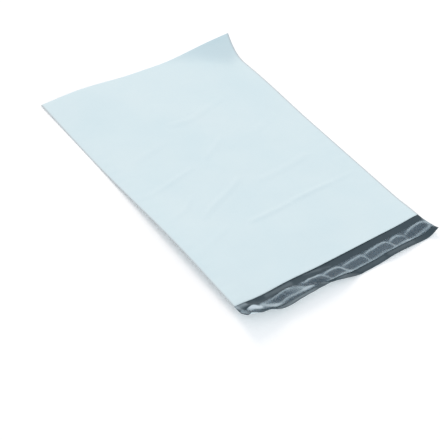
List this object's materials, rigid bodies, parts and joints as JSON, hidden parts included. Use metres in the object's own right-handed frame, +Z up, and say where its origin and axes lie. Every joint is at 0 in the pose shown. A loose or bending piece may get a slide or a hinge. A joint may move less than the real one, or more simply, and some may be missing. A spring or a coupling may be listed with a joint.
{
  "type": "plastic courier bag",
  "caption": "Empty plastic mailing bag lying flat, with side welds, a bottom fold and an open lip that carries an adhesive strip under a peel-off liner.",
  "frame": {"origin": "middle of the ground under the whole bag, lying face up", "axes": "+Z up, square to the panels; +Y along the bag, from the lip towards the bottom fold; +X across the bag, to the right seen from the lip end"},
  "size_m": [0.305, 0.441, 0.0309],
  "materials": {
    "white_film": "satin",
    "adhesive": "satin",
    "liner_film": "gloss"
  },
  "bodies": {
    "root": {"film_bag": "white_film", "glue_strip": "adhesive", "release_liner": "liner_film"}
  },
  "joints": []
}
